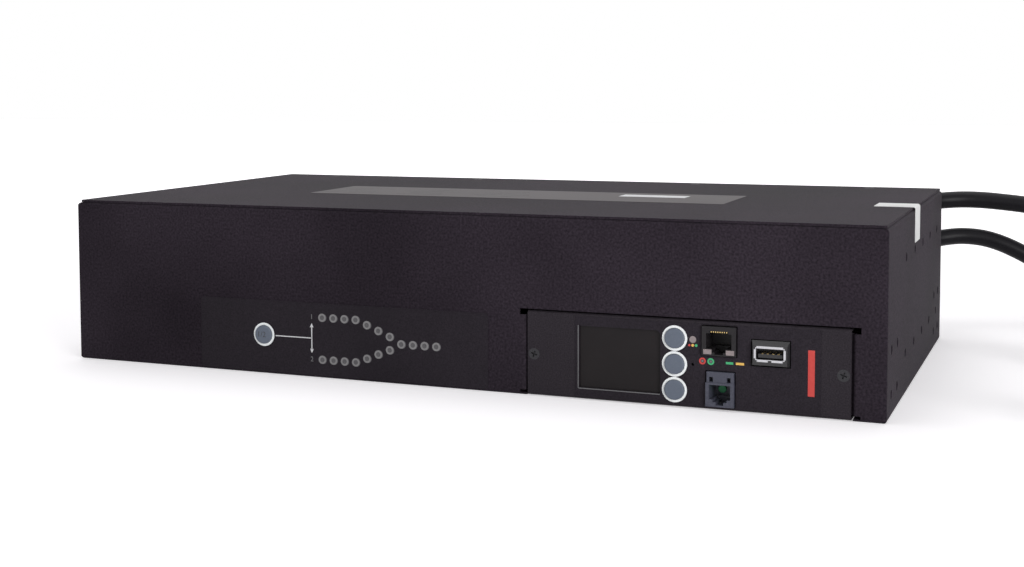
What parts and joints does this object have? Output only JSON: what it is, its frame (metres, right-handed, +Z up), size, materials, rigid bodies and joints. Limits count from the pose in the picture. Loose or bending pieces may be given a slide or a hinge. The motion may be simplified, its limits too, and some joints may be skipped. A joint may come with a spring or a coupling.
{
  "type": "rack automatic transfer switch",
  "caption": "Black rack-mount automatic transfer switch with a source lamp diagram, network module with keys, window and sockets, rear outlets and coiled locking-plug cords",
  "frame": {"origin": "centre of the case's underside, on the surface that it stands on", "axes": "+X to the right seen from the front, +Y to the rear, +Z up; the front panel faces -Y"},
  "size_m": [0.6852, 0.3348, 0.0883],
  "materials": {
    "powder_coat": "fine textured black powder coat",
    "panel_coat": "fine textured black powder coat",
    "black_screw": "black oxide screws",
    "grey_label": "grey printed film",
    "white_label": "white printed film",
    "black_film": "satin printed film",
    "grey_lens": "diffusing plastic lens",
    "lamp_lens": "diffusing plastic lens",
    "led": "light chips",
    "circuit_board": "solder-masked glass laminate",
    "blue_grey_button": "fine matt moulding",
    "white_ring": "white diffusing moulding",
    "switch_plastic": "moulded",
    "zinc_steel": "zinc plated",
    "dark_window": "polished dark pane",
    "display": "display glass",
    "jack_plastic": "moulded",
    "lilac_plastic": "moulded",
    "gold_contact": "gold plated",
    "chip": "moulded",
    "relay_case": "moulded",
    "transformer": "varnished laminations and windings",
    "capacitor": "film boxes and sleeved cans",
    "blue_plastic": "moulded",
    "green_plastic": "moulded",
    "ribbon": "flat cable and housings",
    "black_plastic": "moulded",
    "earth_brass": "plain brass",
    "black_rubber": "moulded rubber",
    "cord_jacket": "smooth cord jacket",
    "tie_strap": "woven strap"
  },
  "bodies": {
    "case": {"chassis": "powder_coat", "top_cover": "powder_coat", "rear_panel": "powder_coat", "case_screws": "black_screw", "top_label": "grey_label", "seal_label": "white_label", "front_film": "black_film", "path_lenses": "grey_lens", "path_leds": "led", "led_board": "circuit_board", "preference_ring": "white_ring", "button_switches": "switch_plastic", "module_panel": "panel_coat", "module_tray": "zinc_steel", "module_film": "black_film", "display_window": "dark_window", "display_module": "display", "menu_rings": "white_ring", "button_board": "circuit_board", "controller_board": "circuit_board", "panel_lamps": "lamp_lens", "network_jack": "jack_plastic", "jack_contacts": "gold_contact", "usb_bezel": "black_plastic", "usb_shell": "zinc_steel", "usb_tongue": "black_plastic", "serial_jack": "lilac_plastic", "board_chips": "chip", "power_board": "circuit_board", "transfer_relays": "relay_case", "supply_transformers": "transformer", "filter_capacitors": "capacitor", "current_sensors": "blue_plastic", "terminal_blocks": "green_plastic", "board_standoffs": "zinc_steel", "board_screws": "zinc_steel", "ribbon_cables": "ribbon", "power_leads": "cord_jacket", "outlet_bank_left": "black_plastic", "outlet_bank_right": "black_plastic", "outlet_contacts": "gold_contact", "locking_outlet": "black_plastic", "ground_stud": "earth_brass", "strain_reliefs": "black_rubber", "relief_nuts": "black_plastic", "cord_a": "cord_jacket", "cord_b": "cord_jacket", "coil_a": "cord_jacket", "coil_b": "cord_jacket", "plug_a": "black_rubber", "plug_b": "black_rubber", "plug_blades": "zinc_steel", "coil_ties": "tie_strap"},
    "preference_button": {"preference_button": "blue_grey_button"},
    "upper_button": {"upper_button": "blue_grey_button"},
    "middle_button": {"middle_button": "blue_grey_button"},
    "lower_button": {"lower_button": "blue_grey_button"},
    "reset_plunger": {"reset_plunger": "switch_plastic"}
  },
  "joints": [
    {"name": "preference_press", "type": "slide", "parent": "case", "child": "preference_button", "axis": [0, 1, 0], "range_m": [0, 0.0005], "stiffness_N_per_m": 500, "springref_m": -0.0005},
    {"name": "upper_press", "type": "slide", "parent": "case", "child": "upper_button", "axis": [0, 1, 0], "range_m": [0, 0.0005], "stiffness_N_per_m": 500, "springref_m": -0.0005},
    {"name": "middle_press", "type": "slide", "parent": "case", "child": "middle_button", "axis": [0, 1, 0], "range_m": [0, 0.0005], "stiffness_N_per_m": 500, "springref_m": -0.0005},
    {"name": "lower_press", "type": "slide", "parent": "case", "child": "lower_button", "axis": [0, 1, 0], "range_m": [0, 0.0005], "stiffness_N_per_m": 500, "springref_m": -0.0005},
    {"name": "reset_press", "type": "slide", "parent": "case", "child": "reset_plunger", "axis": [0, 1, 0], "range_m": [0, 0.00025], "stiffness_N_per_m": 500, "springref_m": -0.0005}
  ]
}
